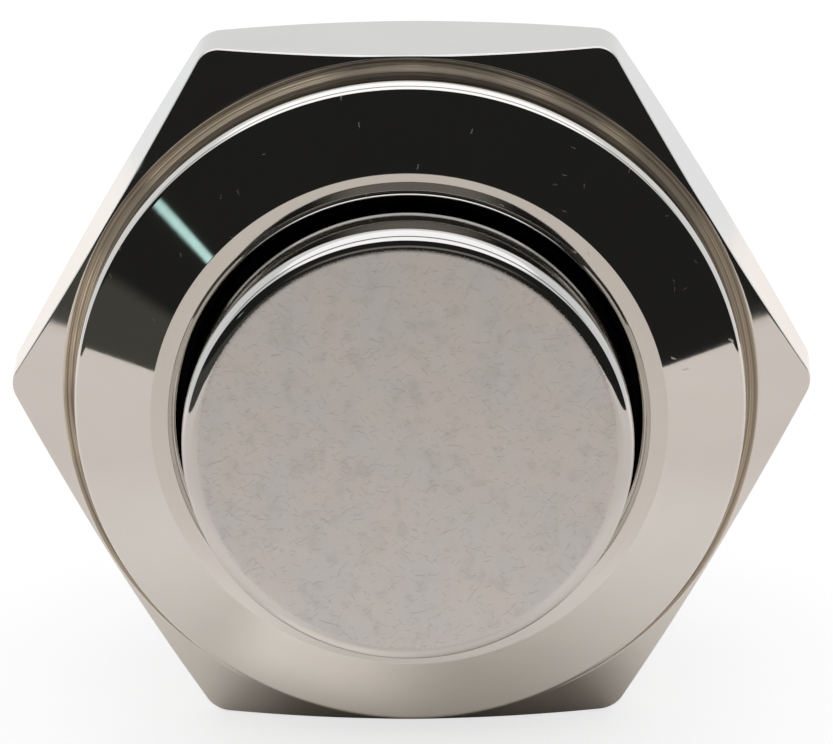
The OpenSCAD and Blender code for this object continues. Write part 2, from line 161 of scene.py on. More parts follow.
# What the metal sees of the room: dark in front, with a greyer wall low on the left and a faint
# glow in the middle, a white backdrop behind, a ceiling lamp with a dim gap before it, and one
# small bluish window at the upper left. Each pair of limits runs from none to full.
ROOM_DARK, ROOM_WALL, ROOM_GLOW = (0.017, 0.017, 0.016), (0.068, 0.068, 0.060), (0.24, 0.22, 0.20)
BACKDROP, LAMP, LAMP_GAP = (0.90, 0.915, 0.93), (1.50, 1.50, 1.55), (0.30, 0.29, 0.29)
WINDOW, WINDOW_TOWARD = (0.72, 1.12, 1.08), Vector((-0.757, -0.576, 0.313)).normalized()
BACKDROP_TOWARD = Vector((0, 0.809, 0.588))
WALL_TOP, WALL_SIDE = (0.10, 0.04), (0.3, -0.4)
GLOW_FOOT, GLOW_HEAD, GLOW_SIDES = (0.18, 0.30), (0.46, 0.34), (0.50, 0.15)
WINDOW_EDGE, LAMP_EDGE, BACKDROP_EDGE = (0.99970, 0.99998), (0.66, 0.74), (0.02, 0.05)
GAP_FRONT, GAP_BACK, GAP_FOOT = (-0.20, -0.16), (-0.02, -0.07), (0.3, 0.5)
EVEN_LIGHT, DIRECTED_LIGHT = 0.47, 0.58

world = bpy.data.worlds.new("room")
scene.world = world
world.use_nodes = True
room = world.node_tree
room.nodes.clear()
direction, toward = new_nodes(room, "ShaderNodeTexCoord", "ShaderNodeSeparateXYZ")
room.links.new(direction.outputs["Generated"], toward.inputs[0])
to_side, to_back, to_top = toward.outputs


def facing(axis):
    """How much a direction in the room faces along an axis."""
    return vector(room, "DOT_PRODUCT", direction.outputs["Generated"], axis).outputs["Value"]


wall = product(room, ramp(room, to_top, WALL_TOP), ramp(room, to_side, WALL_SIDE))
seen = blended(room, wall, ROOM_DARK, ROOM_WALL)
off_middle = number(room, "ABSOLUTE", to_side)
glow = product(
    room, ramp(room, to_top, GLOW_FOOT), ramp(room, to_top, GLOW_HEAD),
    ramp(room, off_middle, GLOW_SIDES),
)
seen = blended(room, glow, seen, ROOM_GLOW)
seen = blended(room, ramp(room, facing(WINDOW_TOWARD), WINDOW_EDGE), seen, WINDOW)
above = blended(room, ramp(room, to_top, LAMP_EDGE), BACKDROP, LAMP)
gap = product(
    room, ramp(room, to_back, GAP_FRONT), ramp(room, to_back, GAP_BACK),
    ramp(room, to_top, GAP_FOOT),
)
above = blended(room, gap, above, LAMP_GAP)
seen = blended(room, ramp(room, facing(BACKDROP_TOWARD), BACKDROP_EDGE), seen, above)
path, mirrored, even, photo_white, out = new_nodes(
    room, "ShaderNodeLightPath", "ShaderNodeBackground", "ShaderNodeBackground",
    "ShaderNodeBackground", "ShaderNodeOutputWorld",
)
room.links.new(seen, mirrored.inputs["Color"])
directed = vector(room, "SCALE", seen, scale=DIRECTED_LIGHT)
room.links.new(
    vector(room, "ADD", directed.outputs[0], (EVEN_LIGHT,) * 3).outputs[0],
    even.inputs["Color"],
)
photo_white.inputs["Color"].default_value = (1, 1, 1, 1)
in_metal, in_photo = new_nodes(room, "ShaderNodeMixShader", "ShaderNodeMixShader")
room.links.new(path.outputs["Is Glossy Ray"], in_metal.inputs[0])
room.links.new(even.outputs[0], in_metal.inputs[1])
room.links.new(mirrored.outputs[0], in_metal.inputs[2])
room.links.new(path.outputs["Is Camera Ray"], in_photo.inputs[0])
room.links.new(in_metal.outputs[0], in_photo.inputs[1])
room.links.new(photo_white.outputs[0], in_photo.inputs[2])
room.links.new(in_photo.outputs[0], out.inputs["Surface"])

# The sheet: a plain pale floor whose colour carries painted light and shade. Painted shade dims
# it to the sides and the front, a painted darker lane runs in front of the button, a painted
# contact shadow lies where the nut rests on it, and a painted glow, stronger just in front of the
# button, is given off by the sheet as if light came from below. The metal sees this painted light
# and shade in full, and the camera sees the sheet mostly as white. Its places are in millimetres.
SHEET_DEPTH = -9.42
SHEET_PLAN = [(-75, 80), (-75, -85), (79, -85), (79, 80)]
# The near colour is the sheet's own; the colours for the sides, the front, the lane and the
# contact are painted shade, and the glow colours are painted light given off by the sheet.
SHEET_NEAR, SIDES_PAINTED_SHADE, FRONT_PAINTED_SHADE = (0.98, 0.935, 0.89), (0.76, 0.705, 0.67), (0.63, 0.58, 0.53)
SIDES_FROM, SIDES_BACK = (11, 27), (28, 0)
FRONT_FROM, FRONT_WIDTH = (-9, -46), (50, 24)
CONTACT_PAINTED_SHADOW, CONTACT_WIDTH, CONTACT_LENGTH = (0.50, 0.46, 0.41), (7.2, 3.4), (-0.9, -0.1)
SHADE_MIDDLE = 0.6
LANE_PAINTED_SHADE, LANE_WIDTH = (0.78, 0.74, 0.70), (6.0, 2.0)
LANE_START, LANE_END = (-5.0, -9.0), (-18.0, -13.0)
PAINTED_GLOW_FROM_BELOW, PAINTED_GLOW_NEAR, NO_GLOW = (0.11, 0.10, 0.09), (0.40, 0.375, 0.35), (0.0, 0.0, 0.0)
NEAR_LEFT, NEAR_RIGHT = (-7.5, -4.4), (2.0, -2.5)
NEAR_START, NEAR_END = (-0.3, -1.9), (-8.0, -3.5)
SHEET_IN_PHOTO, PHOTO_GLOW = (0.32, 0.32, 0.32), (0.72, 0.72, 0.72)

sheet_mesh = bpy.data.meshes.new("pale_sheet")
sheet_mesh.from_pydata(
    [(x * MM, y * MM, SHEET_DEPTH * MM) for x, y in SHEET_PLAN], [], [(0, 1, 2, 3)]
)
sheet = bpy.data.objects.new("pale_sheet", sheet_mesh)
scene.collection.objects.link(sheet)
paper = bpy.data.materials.new("pale_paper")
paper.use_nodes = True
tree = paper.node_tree
tree.nodes.clear()
path, place, card, glow, both, out = new_nodes(
    tree, "ShaderNodeLightPath", "ShaderNodeTexCoord", "ShaderNodeBsdfDiffuse",
    "ShaderNodeEmission", "ShaderNodeAddShader", "ShaderNodeOutputMaterial",
)
split = tree.nodes.new("ShaderNodeSeparateXYZ")
tree.links.new(place.outputs["Object"], split.inputs[0])
sheet_x, sheet_y = split.outputs["X"], split.outputs["Y"]
from_middle = number(tree, "ABSOLUTE", sheet_x)
from_button = vector(tree, "LENGTH", place.outputs["Object"]).outputs["Value"]
from_shade = number(tree, "ABSOLUTE", number(tree, "SUBTRACT", sheet_x, SHADE_MIDDLE * MM))
# Painted shade, darker towards the front.
front_shade_mask = product(
    tree, ramp(tree, sheet_y, FRONT_FROM, MM), ramp(tree, from_middle, FRONT_WIDTH, MM),
)
# Painted shade, darker to the sides away from the button.
side_shade_mask = product(
    tree, ramp(tree, from_button, SIDES_FROM, MM), ramp(tree, sheet_y, SIDES_BACK, MM),
)
# Painted contact shadow: the sheet's colour goes dark where the nut rests on it.
contact = product(
    tree, ramp(tree, from_shade, CONTACT_WIDTH, MM), ramp(tree, sheet_y, CONTACT_LENGTH, MM),
)
# Painted shade: a darker lane on the sheet in front of the button.
lane = product(
    tree, ramp(tree, from_shade, LANE_WIDTH, MM), ramp(tree, sheet_y, LANE_START, MM),
    ramp(tree, sheet_y, LANE_END, MM),
)
# Where the painted glow is stronger: in front of the button, left of the middle.
glow_near_mask = product(
    tree, ramp(tree, sheet_x, NEAR_LEFT, MM), ramp(tree, sheet_x, NEAR_RIGHT, MM),
    ramp(tree, sheet_y, NEAR_START, MM), ramp(tree, sheet_y, NEAR_END, MM),
)
# The sheet's colour: its own near colour with painted shade to the sides and front, then the
# painted lane and the painted contact shadow.
lit = blended(tree, front_shade_mask, blended(tree, side_shade_mask, SHEET_NEAR, SIDES_PAINTED_SHADE), FRONT_PAINTED_SHADE)
lit = blended(tree, contact, blended(tree, lane, lit, LANE_PAINTED_SHADE), CONTACT_PAINTED_SHADOW)
# Painted light: the sheet glows for the metal, more in front of the button, and not at the painted
# contact shadow.
painted_glow_colour = blended(tree, contact, blended(tree, glow_near_mask, PAINTED_GLOW_FROM_BELOW, PAINTED_GLOW_NEAR), NO_GLOW)
for shader, in_mirror, in_view in ((card, lit, SHEET_IN_PHOTO), (glow, painted_glow_colour, PHOTO_GLOW)):
    feed(tree, shader.inputs["Color"], blended(
        tree, path.outputs["Is Camera Ray"], in_mirror, in_view,
    ))
tree.links.new(card.outputs[0], both.inputs[0])
tree.links.new(glow.outputs[0], both.inputs[1])
tree.links.new(both.outputs[0], out.inputs["Surface"])
sheet_mesh.materials.append(paper)

# The housing: the bezel, the web and the barrel, turned from one brass bar and nickel plated.
# The bezel is a bright cone with a soft rim, a narrow flat ring and a fine bead round the bore.
# The web carries the bush and the return spring. Plain sizes are in millimetres from here on.

BARREL_R, THREAD_PITCH, THREAD_DEPTH = 8.0, 1.0, 0.60
BEZEL_R, BEZEL_H, SEAT_CHAMFER, CONE_FOOT, RIM_ROUND = 9.0, 2.0, 0.15, -0.655, 0.35
RING_OUT, RING_MIDDLE, RING_IN, RING_CROWN, RING_DIP = 6.90, 6.675, 6.43, 0.035, 0.003
LIP_ROOT, LIP_TOP, LIP_DEEP, LIP_HIGH, BORE_R = 6.36, 6.285, 0.10, 0.035, 6.22
WEB_FRONT, WEB_REAR, WEB_BORE_R, CHAMBER_R = 3.1, 4.4, 2.60, 6.6
SHOULDER, SNAP_REAR, SNAP_R, BARREL_END, END_CHAMFER = 7.9, 8.4, 7.0, 9.2, 0.12
LONGEST_REACH, GUARD_MOST, GUARD_SHARE = 0.42, 0.03, 0.3
CUT, FINE_CUT, MOUTH, SOFT_CUT, INSIDE = 0.04, 0.03, 0.08, 0.05, 0.2
RING_SWEEP, LIP_FOOT, LIP_ROUND = 1.5, 0.008, 0.015
SIDES_IN_VIEW, SIDES_HIDDEN = 256, 128
ON_AXIS, SAME_PLACE = 1e-6, 2e-5 * MM
NICKEL = (0.665, 0.650, 0.618)


def rounded(corners, steps=6):
    """A closed outline from corners of (x, y, rounding), with a short straight beside each arc."""
    out, count = [], len(corners)
    places = [Vector(corner[:2]) for corner in corners]
    for i, here in enumerate(places):
        radius = corners[i][2]
        if radius <= 0 or here.x == 0:
            out.append(tuple(here))
            continue
        a, b = places[i - 1] - here, places[(i + 1) % count] - here
        half = a.angle(b) / 2
        reach = min(
            radius / math.tan(half), a.length * LONGEST_REACH, b.length * LONGEST_REACH,
        )
        a, b = a.normalized(), b.normalized()
        centre = here + (a + b).normalized() * (reach / math.cos(half))
        start, end = here + a * reach - centre, here + b * reach - centre
        turn = 1 if start.x * end.y - start.y * end.x > 0 else -1
        guard = min(GUARD_MOST, reach * GUARD_SHARE)
        out.append(tuple(here + a * (reach + guard)))
        for k in range(steps + 1):
            angle = turn * start.angle(end) * k / steps
            out.append((
                centre.x + start.x * math.cos(angle) - start.y * math.sin(angle),
                centre.y + start.x * math.sin(angle) + start.y * math.cos(angle),
            ))
        out.append(tuple(here + b * (reach + guard)))
    return out


def turned(outline, sides=SIDES_HIDDEN):
    """A mesh turned about the Y axis from a closed outline of (radius, y)."""
    verts, rings, faces = [], [], []
    for radius, y in outline:
        if radius < ON_AXIS:
            rings.append([len(verts)] * sides)
            verts.append((0, y * MM, 0))
            continue
        rings.append(list(range(len(verts), len(verts) + sides)))
        for k in range(sides):
            angle = 2 * math.pi * k / sides
            verts.append((radius * math.cos(angle) * MM, y * MM, radius * math.sin(angle) * MM))
    for i, ring in enumerate(rings):
        other = rings[(i + 1) % len(rings)]
        for k in range(sides):
            n = (k + 1) % sides
            corners = [ring[k], ring[n], other[n], other[k]]
            corners = [c for m, c in enumerate(corners) if c not in corners[:m]]
            if len(corners) > 2:
                faces.append(corners)
    mesh = bpy.data.meshes.new("turned")
    mesh.from_pydata(verts, [], faces)
    return mesh


def fitted(name, body, mesh, *materials, stands_for=(), slot=None, sharp=32):
    """Merges a mesh's doubles, turns its faces outwards, and fits it to a body as a piece."""
    work = bmesh.new()
    work.from_mesh(mesh)
    bmesh.ops.remove_doubles(work, verts=work.verts, dist=SAME_PLACE)
    bmesh.ops.recalc_face_normals(work, faces=work.faces)
    work.to_mesh(mesh)
    work.free()
    mesh.shade_smooth()
    mesh.set_sharp_from_angle(angle=math.radians(sharp))
    for material in materials:
        mesh.materials.append(material)
    piece = bpy.data.objects.new(name, mesh)
    scene.collection.objects.link(piece)
    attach(piece, body)
    if stands_for:
        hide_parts(*stands_for)
    return piece


def shader_group(name, inputs, outputs):
    """An empty shader node group with these named sockets, and its two end nodes."""
    group = bpy.data.node_groups.new(name, "ShaderNodeTree")
    for label, value in inputs:
        socket = group.interface.new_socket(
            label, in_out="INPUT", socket_type="NodeSocketFloat"
        )
        socket.default_value = value
    for label in outputs:
        group.interface.new_socket(label, in_out="OUTPUT", socket_type="NodeSocketFloat")
    return group, *new_nodes(group, "NodeGroupInput", "NodeGroupOutput")


def placed(tree, group, **values):
    """Places a node group in a material with its own values."""
    node = tree.nodes.new("ShaderNodeGroup")
    node.node_tree = group
    for label, value in values.items():
        feed(tree, node.inputs[label.replace("_", " ")], value)
    return node


# Lathe marks: fine grooves round the axis, which follow the radius and the depth and wander a
# little on their way round.
WANDER_SCALE, GROOVE_DETAIL = 130, 3
lathe_marks, given, result = shader_group(
    "Lathe marks", [("Spacing", 9000.0), ("Wander", 0.15)], ["Height", "Radius", "Depth"],
)
tree = lathe_marks
place, split, grooves, wander = new_nodes(
    tree, "ShaderNodeTexCoord", "ShaderNodeSeparateXYZ", "ShaderNodeTexNoise",
    "ShaderNodeTexNoise",
)
tree.links.new(place.outputs["Object"], split.inputs[0])
across = vector(tree, "MULTIPLY", place.outputs["Object"], (1, 0, 1))
radius = vector(tree, "LENGTH", across.outputs[0]).outputs["Value"]
wander.inputs["Scale"].default_value = WANDER_SCALE
wander.inputs["Detail"].default_value = 1
tree.links.new(place.outputs["Object"], wander.inputs["Vector"])
along = number(tree, "SUBTRACT", radius, split.outputs["Y"])
along = product(tree, along, given.outputs["Spacing"])
drift = product(tree, wander.outputs[0], given.outputs["Wander"])
grooves.noise_dimensions = "1D"
grooves.inputs["Scale"].default_value = 1
grooves.inputs["Detail"].default_value = GROOVE_DETAIL
tree.links.new(number(tree, "ADD", along, drift), grooves.inputs["W"])
tree.links.new(grooves.outputs[0], result.inputs["Height"])
tree.links.new(radius, result.inputs["Radius"])
tree.links.new(split.outputs["Y"], result.inputs["Depth"])

# Uneven tone: soft clouds of lighter and darker surface, as plating and handling leave, and a
# finer grain that is nine times closer.
CLOUD_DETAIL, GRAIN_DETAIL, GRAIN_CLOSER = 3, 5, 9.0
uneven_tone, given, result = shader_group("Uneven tone", [("Scale", 400.0)], ["Tone", "Fine"])
tree = uneven_tone
place, clouds, fine = new_nodes(
    tree, "ShaderNodeTexCoord", "ShaderNodeTexNoise", "ShaderNodeTexNoise",
)
for noise, detail in ((clouds, CLOUD_DETAIL), (fine, GRAIN_DETAIL)):
    tree.links.new(place.outputs["Object"], noise.inputs["Vector"])
    noise.inputs["Detail"].default_value = detail
tree.links.new(given.outputs["Scale"], clouds.inputs["Scale"])
tree.links.new(product(tree, given.outputs["Scale"], GRAIN_CLOSER), fine.inputs["Scale"])
tree.links.new(clouds.outputs[0], result.inputs["Tone"])
tree.links.new(fine.outputs[0], result.inputs["Fine"])

# Short scratches: a bent scratch to each cell of a scattered grid, at its own turn, seen along
# the axis. Some cells stay empty.
HALF_SCRATCH, END_FADE = 0.40, 6.0
short_scratches, given, result = shader_group(
    "Short scratches",
    [("Scale", 900.0), ("Bend", 2.5), ("Width", 0.02), ("Share", 0.5), ("Shift", 0.0),
     ("Turn", 1.0)],
    ["Mask"],
)
tree = short_scratches
place, split, flat, cells, chance, turn, local = new_nodes(
    tree, "ShaderNodeTexCoord", "ShaderNodeSeparateXYZ", "ShaderNodeCombineXYZ",
    "ShaderNodeTexVoronoi", "ShaderNodeSeparateColor", "ShaderNodeVectorRotate",
    "ShaderNodeSeparateXYZ",
)
spread = vector(tree, "SCALE", place.outputs["Object"], scale=given.outputs["Scale"])
tree.links.new(spread.outputs[0], split.inputs[0])
feed(tree, flat.inputs["X"], number(tree, "ADD", split.outputs["X"], given.outputs["Shift"]))
tree.links.new(split.outputs["Z"], flat.inputs["Y"])
cells.voronoi_dimensions = "2D"
cells.inputs["Scale"].default_value = 1
tree.links.new(flat.outputs[0], cells.inputs["Vector"])
tree.links.new(cells.outputs["Color"], chance.inputs[0])
from_cell = vector(tree, "SUBTRACT", flat.outputs[0], cells.outputs["Position"])
turn.rotation_type = "Z_AXIS"
tree.links.new(from_cell.outputs[0], turn.inputs["Vector"])
part_turn = number(tree, "SUBTRACT", chance.outputs[0], 0.5)
feed(tree, turn.inputs["Angle"], product(tree, part_turn, given.outputs["Turn"], 2 * math.pi))
tree.links.new(turn.outputs[0], local.inputs[0])
bow = product(tree, local.outputs["X"], local.outputs["X"])
bend = product(tree, given.outputs["Bend"], number(tree, "SUBTRACT", chance.outputs[1], 0.5))
off_line = number(tree, "SUBTRACT", local.outputs["Y"], product(tree, bow, bend))
away = number(tree, "DIVIDE", number(tree, "ABSOLUTE", off_line), given.outputs["Width"])
thin = number(tree, "SUBTRACT", 1.0, away, clamp=True)
along_scratch = number(tree, "ABSOLUTE", local.outputs["X"])
reach = number(tree, "SUBTRACT", HALF_SCRATCH, along_scratch)
whole = number(tree, "MULTIPLY", reach, END_FADE, clamp=True)
chosen = number(tree, "LESS_THAN", chance.outputs[2], given.outputs["Share"])
tree.links.new(product(tree, thin, whole, chosen), result.inputs["Mask"])

METAL_CLOUDS, METAL_GROOVE = 420.0, 0.002 * MM
ROUGH_LEAST, ROUGH_MORE = 0.65, 0.7


def bumped(tree, surface, height, strength, distance):
    """Gives a surface a bump from a height, with this strength and distance."""
    bump = tree.nodes.new("ShaderNodeBump")
    bump.inputs["Strength"].default_value = strength
    bump.inputs["Distance"].default_value = distance
    tree.links.new(height, bump.inputs["Height"])
    tree.links.new(bump.outputs[0], surface.inputs["Normal"])


def metal(name, colour, roughness, scratched=0.0, marks=0.0, spacing=9000.0, uneven=0.02,
          hairs_scale=1300.0, hairs_width=0.02, stained=0.35, dulled=0.0):
    """A bare or plated metal, with an uneven tone, lathe marks and a few short scratches."""
    made = bpy.data.materials.new(name)
    made.use_nodes = True
    tree = made.node_tree
    surface = tree.nodes["Principled BSDF"]
    surface.inputs["Metallic"].default_value = 1
    tone = placed(tree, uneven_tone, Scale=METAL_CLOUDS)
    base = blended(
        tree, tone.outputs["Tone"], [c * (1 - 2 * uneven) for c in colour],
        [min(1, c * (1 + 2 * uneven)) for c in colour],
    )
    rough = product(tree, tone.outputs["Fine"], roughness * ROUGH_MORE)
    rough = number(tree, "ADD", rough, roughness * ROUGH_LEAST)
    if scratched:
        hairs = placed(
            tree, short_scratches, Scale=hairs_scale, Share=scratched, Width=hairs_width,
        )
        faint = product(tree, hairs.outputs["Mask"], stained)
        base = blended(tree, faint, base, [c * 0.5 for c in colour])
        rough = number(tree, "ADD", rough, product(tree, hairs.outputs["Mask"], dulled))
    feed(tree, surface.inputs["Base Color"], base)
    feed(tree, surface.inputs["Roughness"], rough)
    if marks:
        lathe = placed(tree, lathe_marks, Spacing=spacing)
        bumped(tree, surface, lathe.outputs["Height"], marks, METAL_GROOVE)
    return made


bright_nickel = metal("bright_nickel", NICKEL, roughness=0.045, scratched=0.03, marks=0.10,
                      hairs_scale=4200.0, hairs_width=0.13, stained=0.0, dulled=0.24)

core_r = BARREL_R - THREAD_DEPTH
ring_level = RING_CROWN - BEZEL_H
housing_outline = rounded([
    (CHAMBER_R, BARREL_END, MOUTH), (core_r - END_CHAMFER, BARREL_END, CUT),
    (core_r, BARREL_END - END_CHAMFER, CUT), (core_r, 0.0, SOFT_CUT),
    (BEZEL_R - SEAT_CHAMFER, 0.0, CUT), (BEZEL_R, -SEAT_CHAMFER, CUT),
    (BEZEL_R, CONE_FOOT, RIM_ROUND), (RING_OUT, ring_level, CUT),
    (RING_MIDDLE, ring_level - RING_DIP, RING_SWEEP), (RING_IN, ring_level, FINE_CUT),
    (LIP_ROOT, ring_level + LIP_DEEP, LIP_FOOT), (LIP_TOP, ring_level + LIP_HIGH, LIP_ROUND),
    (BORE_R, ring_level + LIP_DEEP, FINE_CUT), (BORE_R, WEB_FRONT, INSIDE),
    (WEB_BORE_R, WEB_FRONT, MOUTH), (WEB_BORE_R, WEB_REAR, SOFT_CUT),
    (CHAMBER_R, WEB_REAR, INSIDE), (CHAMBER_R, SHOULDER, FINE_CUT),
    (SNAP_R, SHOULDER, FINE_CUT), (SNAP_R, SNAP_REAR, FINE_CUT),
    (CHAMBER_R, SNAP_REAR, FINE_CUT),
], steps=8)
fitted("bezel_and_barrel", "housing", turned(housing_outline, SIDES_IN_VIEW), bright_nickel,
       stands_for=["housing"], slot="plated_housing")

# The barrel's thread: M16 with a pitch of 1 mm, cut with 60 degree flanks and flat crests. It
# starts past the gasket, runs out at the rear chamfer, and is plated with the housing.

THREAD_FROM, THREAD_TO, CREST_FLAT, LET_IN, RUN_OUT = 0.95, 8.95, 0.125, 0.06, 0.06
FLANK = math.tan(math.radians(30))
STEPS_A_TURN, THINNEST = 96, 0.05


def tree_of(name, inputs):
    """An empty Geometry Nodes tree with these named inputs, and its two end nodes."""
    tree = bpy.data.node_groups.new(name, "GeometryNodeTree")
    tree.interface.new_socket("Geometry", in_out="INPUT", socket_type="NodeSocketGeometry")
    for label, kind, value in inputs:
        socket = tree.interface.new_socket(label, in_out="INPUT", socket_type=kind)
        if value is not None:
            socket.default_value = value
    tree.interface.new_socket("Geometry", in_out="OUTPUT", socket_type="NodeSocketGeometry")
    return tree, *new_nodes(tree, "NodeGroupInput", "NodeGroupOutput")


def grown(tree, **values):
    """The plain mesh that a Geometry Nodes tree makes with these values."""
    seed = bpy.data.objects.new("seed", bpy.data.meshes.new("seed"))
    scene.collection.objects.link(seed)
    work = seed.modifiers.new("work", "NODES")
    work.node_group = tree
    for item in tree.interface.items_tree:
        if item.in_out == "INPUT" and item.name.replace(" ", "_") in values:
            work[item.identifier] = values[item.name.replace(" ", "_")]
    mesh = bpy.data.meshes.new_from_object(
        seed.evaluated_get(bpy.context.evaluated_depsgraph_get())
    )
    bpy.data.objects.remove(seed)
    return mesh


def laid_along_y(tree, geometry, given, result):
    """Turns what was made along Z so that it runs back along Y from a start, and ends the tree."""
    shift, turn, whole, finish = new_nodes(
        tree, "ShaderNodeCombineXYZ", "GeometryNodeTransform", "GeometryNodeRealizeInstances",
        "GeometryNodeSetMaterial",
    )
    feed(tree, shift.inputs["Y"], given.outputs["Start"])
    turn.inputs["Rotation"].default_value = (math.radians(-90), 0, 0)
    tree.links.new(shift.outputs[0], turn.inputs["Translation"])
    tree.links.new(geometry, turn.inputs["Geometry"])
    tree.links.new(turn.outputs[0], whole.inputs[0])
    tree.links.new(whole.outputs[0], finish.inputs["Geometry"])
    tree.links.new(given.outputs["Material"], finish.inputs["Material"])
    tree.links.new(finish.outputs[0], result.inputs[0])


def point(tree, x, y):
    """A point of a section, whose X runs in towards the axis and whose Y runs along it."""
    node = tree.nodes.new("ShaderNodeCombineXYZ")
    feed(tree, node.inputs["X"], x)
    feed(tree, node.inputs["Y"], y)
    return node.outputs[0]


# A ridge wound round the axis: its root circle, the height of its crest (less than nothing for
# a nut), the half widths of its foot and its crest, and how far the foot is let into the wall.
thread_ridge, given, result = tree_of("Thread ridge", [
    ("Root", "NodeSocketFloat", 0.0), ("Crest", "NodeSocketFloat", 0.0),
    ("Foot half", "NodeSocketFloat", 0.0), ("Crest half", "NodeSocketFloat", 0.0),
    ("Let in", "NodeSocketFloat", 0.0), ("Start", "NodeSocketFloat", 0.0),
    ("Pitch", "NodeSocketFloat", 0.0), ("Turns", "NodeSocketFloat", 1.0),
    ("Run out", "NodeSocketFloat", 0.1), ("Material", "NodeSocketMaterial", None),
])
tree = thread_ridge
helix, upright, section, sweep, way = new_nodes(
    tree, "GeometryNodeCurveSpiral", "GeometryNodeSetCurveNormal",
    "GeometryNodeCurvePrimitiveQuadrilateral", "GeometryNodeCurveToMesh",
    "GeometryNodeSplineParameter",
)
helix.inputs["Resolution"].default_value = STEPS_A_TURN
tree.links.new(given.outputs["Turns"], helix.inputs["Rotations"])
tree.links.new(given.outputs["Root"], helix.inputs["Start Radius"])
tree.links.new(given.outputs["Root"], helix.inputs["End Radius"])
feed(tree, helix.inputs["Height"], product(tree, given.outputs["Turns"], given.outputs["Pitch"]))
upright.mode = "Z_UP"
tree.links.new(helix.outputs[0], upright.inputs["Curve"])
section.mode = "POINTS"
inward = product(tree, given.outputs["Crest"], -1.0)
foot_below = product(tree, given.outputs["Foot half"], -1.0)
crest_below = product(tree, given.outputs["Crest half"], -1.0)
for socket, corner in (
    ("Point 1", (given.outputs["Let in"], foot_below)), ("Point 2", (inward, crest_below)),
    ("Point 3", (inward, given.outputs["Crest half"])),
    ("Point 4", (given.outputs["Let in"], given.outputs["Foot half"])),
):
    tree.links.new(point(tree, *corner), section.inputs[socket])
from_end = number(
    tree, "MINIMUM", way.outputs["Factor"],
    number(tree, "SUBTRACT", 1.0, way.outputs["Factor"]),
)
swell = number(tree, "DIVIDE", from_end, given.outputs["Run out"], clamp=True)
feed(tree, sweep.inputs["Scale"], number(tree, "MAXIMUM", swell, THINNEST))
sweep.inputs["Fill Caps"].default_value = True
tree.links.new(upright.outputs[0], sweep.inputs["Curve"])
tree.links.new(section.outputs[0], sweep.inputs["Profile Curve"])
laid_along_y(tree, sweep.outputs[0], given, result)

cut_thread = metal("cut_thread", NICKEL, roughness=0.10, marks=0.05)
crest_half = CREST_FLAT / 2
fitted("barrel_thread", "housing", grown(
    thread_ridge, Root=core_r * MM, Crest=THREAD_DEPTH * MM,
    Foot_half=(crest_half + THREAD_DEPTH * FLANK) * MM, Crest_half=crest_half * MM,
    Let_in=LET_IN * MM, Start=THREAD_FROM * MM, Pitch=THREAD_PITCH * MM,
    Turns=(THREAD_TO - THREAD_FROM) / THREAD_PITCH, Run_out=RUN_OUT, Material=cut_thread,
), slot="plated_housing")

# The nut: a hexagon of plated brass, chamfered on both faces. Its front face is turned bare in
# rings and stays brownish, with painted golden highlight streaks along the rings that are
# strongest at the upper left and painted shade that darkens it to the right, and its corners are
# a little rounded.

NUT_AF, NUT_FRONT, NUT_REAR, NUT_CORNER, NUT_BORE_R = 18.8, 0.5, 3.8, 0.7, 8.05
NUT_FACE_R, NUT_MOUTH, NUT_SLOPE, NUT_ARRIS = 9.35, 0.35, math.tan(math.radians(30)), 0.05
NUT_RINGS, BARE_ROWS, FLAT_STEPS = (0.0, 0.32, 0.64), (1, 4), 24
CORNER_TURNS, ARRIS_TURNS = range(-30, 31, 5), (60, 45, 30, 15, 0)
ARRIS_SHARE, ARRIS_GUARD, EDGE_STRAIGHT = 0.45, (0.02, 0.15), 0.03
NUT_THREAD_R, NUT_FOOT_HALF, NUT_CREST_HALF, NUT_TURNS, NUT_RUN_OUT = 7.48, 0.40, 0.07, 1.9, 0.2
# The darker colour serves both the darker turned rings and painted shade to the right, and the
# light colour is a painted golden sheen along the rings, strongest towards the upper left.
TURNED_BROWN, TURNED_DARK_AND_SHADE = (0.46, 0.40, 0.325), (0.21, 0.178, 0.14)
PAINTED_TURNED_SHEEN, SHEEN_SIDE_TOWARD = (0.98, 0.84, 0.62), Vector((-0.5, 0.0, 0.87))
FINE_GROOVES, FINE_WANDER, BROAD_GROOVES, BROAD_WANDER = 21000.0, 2.5, 9000.0, 2.0
TURNED_CLOUDS, TURNED_BUMP, TURNED_GROOVE = 190.0, 0.6, 0.004 * MM
SHEEN_HEIGHT, SHEEN_CLOUD, BROWN_HEIGHT = (0.46, 0.58), (0.40, 0.54), (0.36, 0.58)
SHEEN_SIDE_FROM, SHEEN_SIDE_LEAST, TURNED_ROUGH, TURNED_ROUGH_MORE = (-2, 7), 0.35, 0.26, 0.2


def nut_outline():
    """The nut's outline in plan: six rounded corners with the flats between them, as (x, z)."""
    reach = (NUT_AF / 2 - NUT_CORNER) / math.cos(math.radians(30))
    corners = []
    for k in range(6):
        middle = math.radians(60 * k)
        corners.append([
            (reach * math.cos(middle) + NUT_CORNER * math.cos(middle + math.radians(t)),
             reach * math.sin(middle) + NUT_CORNER * math.sin(middle + math.radians(t)))
            for t in CORNER_TURNS
        ])
    points = []
    for k, arc in enumerate(corners):
        points += arc
        (x0, z0), (x1, z1) = arc[-1], corners[(k + 1) % 6][0]
        points += [
            (x0 + (x1 - x0) * t / FLAT_STEPS, z0 + (z1 - z0) * t / FLAT_STEPS)
            for t in range(1, FLAT_STEPS)
        ]
    return points


